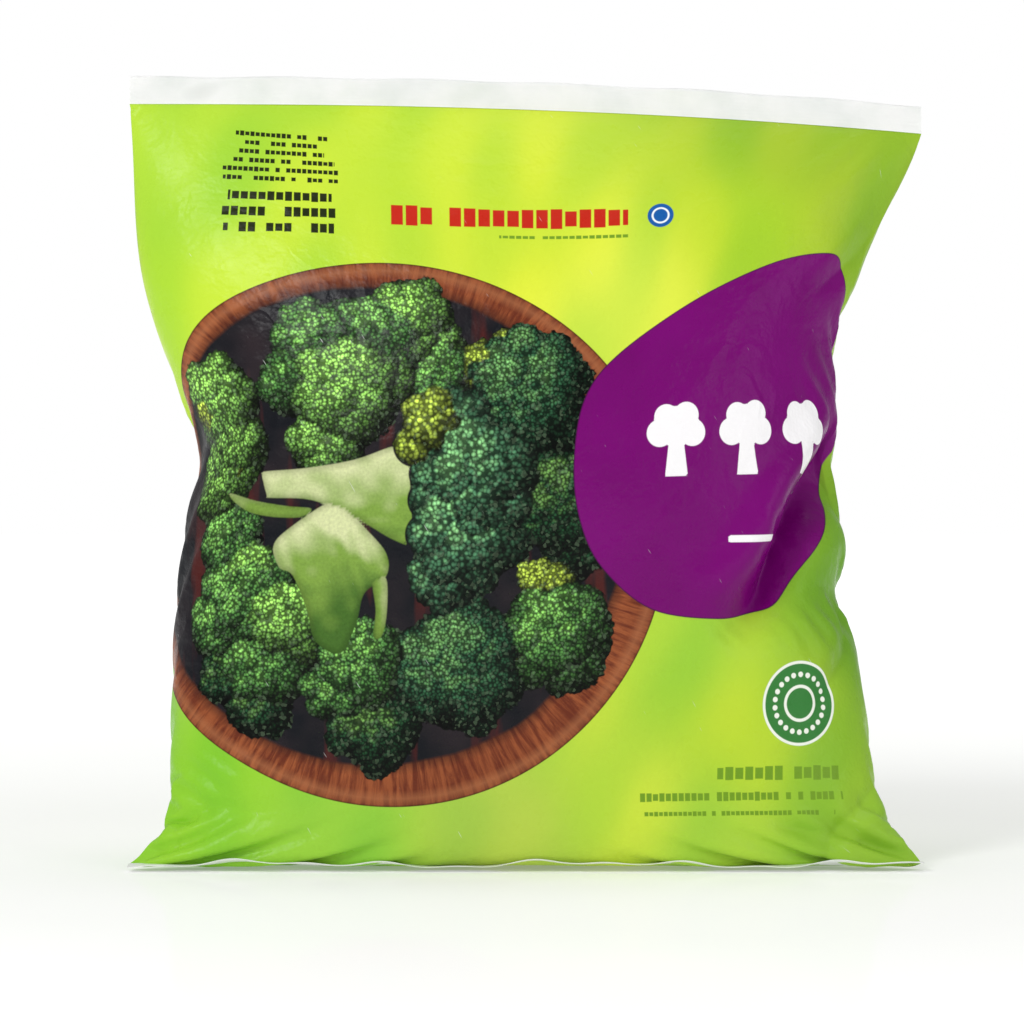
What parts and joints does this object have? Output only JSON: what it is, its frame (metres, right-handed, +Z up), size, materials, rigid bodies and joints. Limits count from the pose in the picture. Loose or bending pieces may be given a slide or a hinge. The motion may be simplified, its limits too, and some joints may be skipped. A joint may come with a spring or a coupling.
{
  "type": "frozen broccoli bag",
  "caption": "Standing plastic pillow bag of frozen broccoli florets, printed front, welded across the top and bottom.",
  "frame": {"origin": "on the surface the bag stands on, under the middle of the whole bag's box", "axes": "+Z up, the printed front faces -Y, +X along the welds towards the right side as seen from the front"},
  "size_m": [0.28, 0.0982, 0.2776],
  "materials": {
    "printed_film": "glossy printed polyethylene film",
    "clear_film": "unprinted film, ribbed by the sealing jaws",
    "frozen_floret": "matt frosted buds on pale green stems"
  },
  "bodies": {
    "root": {"back_fin_seam": "printed_film", "bottom_weld": "clear_film", "film_sleeve": "printed_film", "floret_01": "frozen_floret", "floret_02": "frozen_floret", "floret_03": "frozen_floret", "floret_04": "frozen_floret", "floret_05": "frozen_floret", "floret_06": "frozen_floret", "floret_07": "frozen_floret", "floret_08": "frozen_floret", "floret_09": "frozen_floret", "floret_10": "frozen_floret", "floret_11": "frozen_floret", "floret_12": "frozen_floret", "floret_13": "frozen_floret", "floret_14": "frozen_floret", "floret_15": "frozen_floret", "floret_16": "frozen_floret", "floret_17": "frozen_floret", "floret_18": "frozen_floret", "floret_19": "frozen_floret", "floret_20": "frozen_floret", "floret_21": "frozen_floret", "floret_22": "frozen_floret", "floret_23": "frozen_floret", "floret_24": "frozen_floret", "floret_25": "frozen_floret", "floret_26": "frozen_floret", "floret_27": "frozen_floret", "top_weld": "clear_film"}
  },
  "joints": []
}
